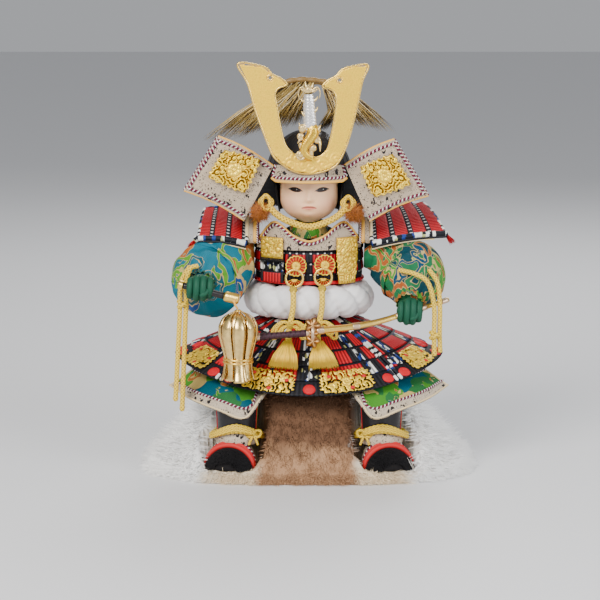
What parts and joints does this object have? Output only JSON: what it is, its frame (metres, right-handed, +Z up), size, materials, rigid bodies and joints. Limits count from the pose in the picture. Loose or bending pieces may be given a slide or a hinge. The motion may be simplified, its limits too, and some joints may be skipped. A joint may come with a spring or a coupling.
{
  "type": "samurai doll",
  "caption": "Seated warrior doll in laced armour and horned helmet, with sword and baton, on a fur covered seat, for display on a shelf.",
  "frame": {"origin": "centre line of the doll at the underside of the seat block, level with the shelf it stands on", "axes": "+Z up, -Y towards the front of the doll, +X towards the doll's left hand"},
  "size_m": [0.288, 0.2074, 0.363],
  "materials": {
    "wood": "plain planed",
    "fur": "fur, brown and cream",
    "core": "plain",
    "lacing": "red and black laced rows",
    "lacquer": "black lacquer",
    "black_fur": "black pile",
    "gold": "gilt, polished and stamped",
    "pale_gold": "pale satin gilt",
    "leather": "printed with small dark curls",
    "sash": "white satin",
    "brocade": "woven brocade",
    "cord": "braided yellow silk",
    "glove": "deep green",
    "skin": "matt, painted",
    "hair": "black silk hair",
    "plume": "stiff golden brown bristles",
    "wrap": "dark wrapped"
  },
  "bodies": {
    "root": {"seat_block": "wood", "fur_pelt": "fur", "body_core": "core", "leg_right": "brocade", "leg_left": "brocade", "thigh_guard_right": "brocade", "thigh_guard_left": "brocade", "collar": "brocade", "sleeve_right": "brocade", "sleeve_left": "brocade", "shin_guard_right": "lacquer", "shin_guard_left": "lacquer", "helmet_bowl": "lacquer", "shoe_right": "black_fur", "shoe_left": "black_fur", "ankle_cord_right": "cord", "ankle_cord_left": "cord", "breast_cord_right": "cord", "breast_cord_left": "cord", "chin_cord": "cord", "sleeve_cord_right_a": "cord", "sleeve_cord_right_b": "cord", "sleeve_cord_left_a": "cord", "sleeve_cord_left_b": "cord", "skirt_front": "lacing", "skirt_right": "lacing", "skirt_left": "lacing", "skirt_back": "lacing", "cuirass": "lacing", "shoulder_guard_right": "lacing", "shoulder_guard_left": "lacing", "neck_guard": "lacing", "breast_leather": "leather", "shoulder_strap_right": "leather", "shoulder_strap_left": "leather", "wing_right": "leather", "wing_left": "leather", "visor": "leather", "breast_plate_right": "gold", "breast_plate_left": "gold", "ring_right": "gold", "ring_left": "gold", "wing_ornament_right": "gold", "wing_ornament_left": "gold", "dragon_crest": "gold", "sword_guard": "gold", "scabbard": "gold", "baton_strips": "gold", "horn_crest": "pale_gold", "rosette_right": "pale_gold", "rosette_left": "pale_gold", "sash": "sash", "hand_right": "glove", "hand_left": "glove", "head": "skin", "hair": "hair", "plume": "plume", "sword_hilt": "wrap", "baton": "wrap"}
  },
  "joints": []
}
